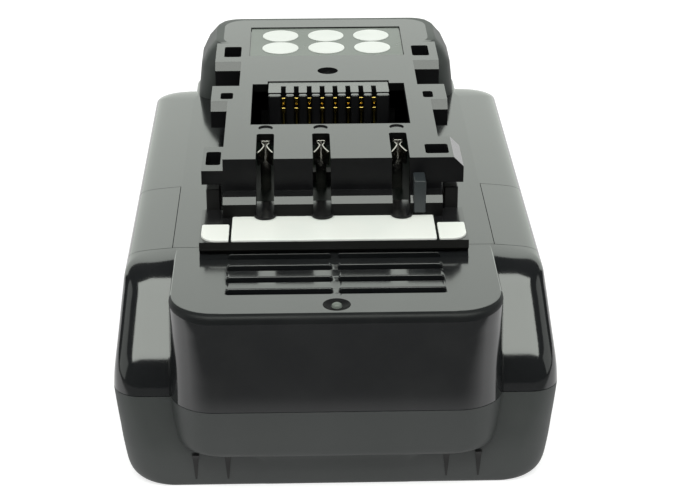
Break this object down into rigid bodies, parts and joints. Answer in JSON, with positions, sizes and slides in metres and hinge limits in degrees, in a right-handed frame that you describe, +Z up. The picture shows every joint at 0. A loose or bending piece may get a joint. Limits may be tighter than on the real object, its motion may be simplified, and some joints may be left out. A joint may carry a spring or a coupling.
{
  "type": "power tool battery pack",
  "caption": "Slide-on power tool battery pack: charcoal case with sloped shoulders, vented front box, raised contact block with rail lugs, and squeeze release buttons.",
  "frame": {"origin": "middle of the footprint, on the plane the pack stands on", "axes": "+X across the pack, +Y from the front box to the rear hood, +Z up"},
  "size_m": [0.0848, 0.1362, 0.0514],
  "materials": {
    "case_plastic": "semi-gloss charcoal moulding",
    "block_plastic": "semi-gloss charcoal moulding",
    "button_plastic": "satin black moulding",
    "latch_plastic": "semi-gloss black moulding",
    "slide_polymer": "white low-friction polymer",
    "post_plastic": "grey moulding",
    "label_film": "satin film",
    "print_white": "white print",
    "board_laminate": "solder mask",
    "tin": "bright tin",
    "gold": "gold flash",
    "connector_plastic": "dark moulding",
    "chip_resin": "moulding compound",
    "fuse_body": "ceramic",
    "cell_wrap": "shrink sleeve",
    "frame_plastic": "matt black moulding",
    "nickel": "nickel strip",
    "screw_steel": "zinc plated"
  },
  "bodies": {
    "case": {"lower_case": "case_plastic", "upper_case": "case_plastic", "nose_cap": "case_plastic", "panel_left": "case_plastic", "panel_right": "case_plastic", "contact_block": "block_plastic", "slide_strip": "slide_polymer", "coding_post": "post_plastic", "label_plate": "label_film", "label_discs": "print_white", "button_spring_left": "screw_steel", "button_spring_right": "screw_steel", "circuit_board": "board_laminate", "terminal_positive": "tin", "terminal_signal": "tin", "terminal_negative": "tin", "connector_housing": "connector_plastic", "connector_contacts": "gold", "controller_chip": "chip_resin", "power_switches": "chip_resin", "thermal_fuse": "fuse_body", "cell_lower_1": "cell_wrap", "cell_lower_2": "cell_wrap", "cell_lower_3": "cell_wrap", "cell_lower_4": "cell_wrap", "cell_lower_5": "cell_wrap", "cell_upper_1": "cell_wrap", "cell_upper_2": "cell_wrap", "cell_upper_3": "cell_wrap", "cell_upper_4": "cell_wrap", "cell_upper_5": "cell_wrap", "cell_frame_left": "frame_plastic", "cell_frame_right": "frame_plastic", "link_strips_left": "nickel", "link_strips_right": "nickel", "lead_positive": "nickel", "lead_negative": "nickel", "thermistor": "chip_resin", "case_screws": "screw_steel", "block_screws": "screw_steel", "board_screws": "screw_steel"},
    "button_left": {"release_button_left": "button_plastic", "latch_left": "latch_plastic"},
    "button_right": {"release_button_right": "button_plastic", "latch_right": "latch_plastic"}
  },
  "joints": [
    {"name": "left_button_press", "type": "slide", "parent": "case", "child": "button_left", "axis": [1, 0, 0], "range_m": [0, 0.002], "stiffness_N_per_m": 900, "deforming": ["button_spring_left"]},
    {"name": "right_button_press", "type": "slide", "parent": "case", "child": "button_right", "axis": [-1, 0, 0], "range_m": [0, 0.002], "stiffness_N_per_m": 900, "deforming": ["button_spring_right"]}
  ]
}
